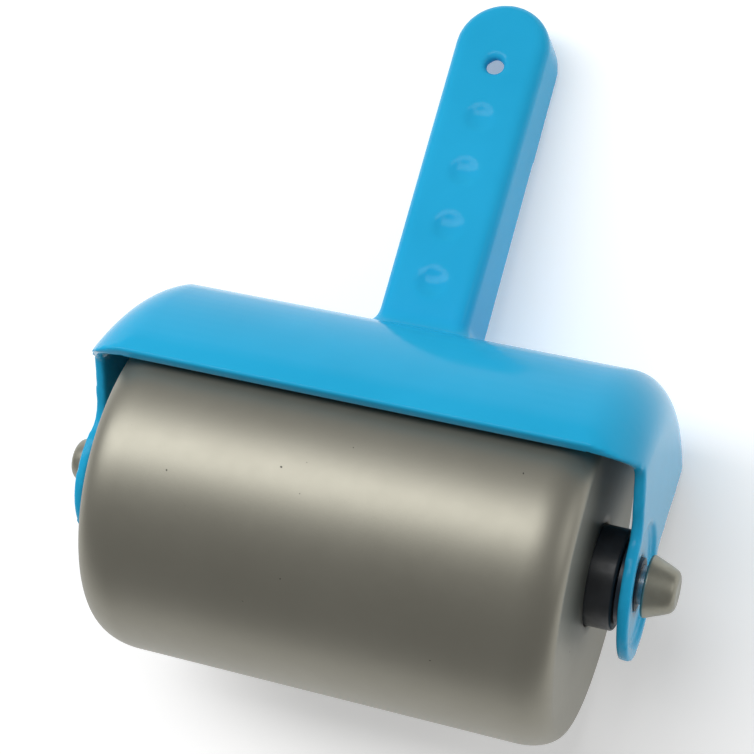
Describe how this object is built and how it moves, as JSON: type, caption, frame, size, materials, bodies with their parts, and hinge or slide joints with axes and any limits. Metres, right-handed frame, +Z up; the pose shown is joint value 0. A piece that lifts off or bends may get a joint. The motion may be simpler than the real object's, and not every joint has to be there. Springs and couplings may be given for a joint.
{
  "type": "brayer",
  "caption": "Hand roller for inking and pressing paper: a soft rubber roller on an axle, held between the ears of a moulded hood with a flat ribbed handle.",
  "frame": {"origin": "on the table under the middle of the whole tool, which lies with its front up on the roller and on the back of the handle's tip", "axes": "+X along the roller's axle to the tool's right, +Y towards the handle's tip, +Z up, out of the tool's front"},
  "size_m": [0.1336, 0.1586, 0.0734],
  "materials": {
    "blue_plastic": "gloss",
    "roller_rubber": "satin",
    "core_plastic": "matte",
    "axle_steel": "satin",
    "black_plastic": "satin",
    "bush_plastic": "satin",
    "cone_plastic": "satin"
  },
  "bodies": {
    "frame_body": {"frame": "blue_plastic", "left_bush": "bush_plastic", "right_bush": "bush_plastic"},
    "roller_body": {"rubber_sleeve": "roller_rubber", "core_tube": "core_plastic", "axle": "axle_steel", "left_end_plug": "black_plastic", "right_end_plug": "black_plastic", "left_cone": "cone_plastic", "right_cone": "cone_plastic"}
  },
  "joints": [
    {"name": "roller_spin", "type": "hinge", "parent": "frame_body", "child": "roller_body", "pos_m": [0, -0.04261, 0.0367], "axis": [1, 0, 0], "continuous": true}
  ]
}
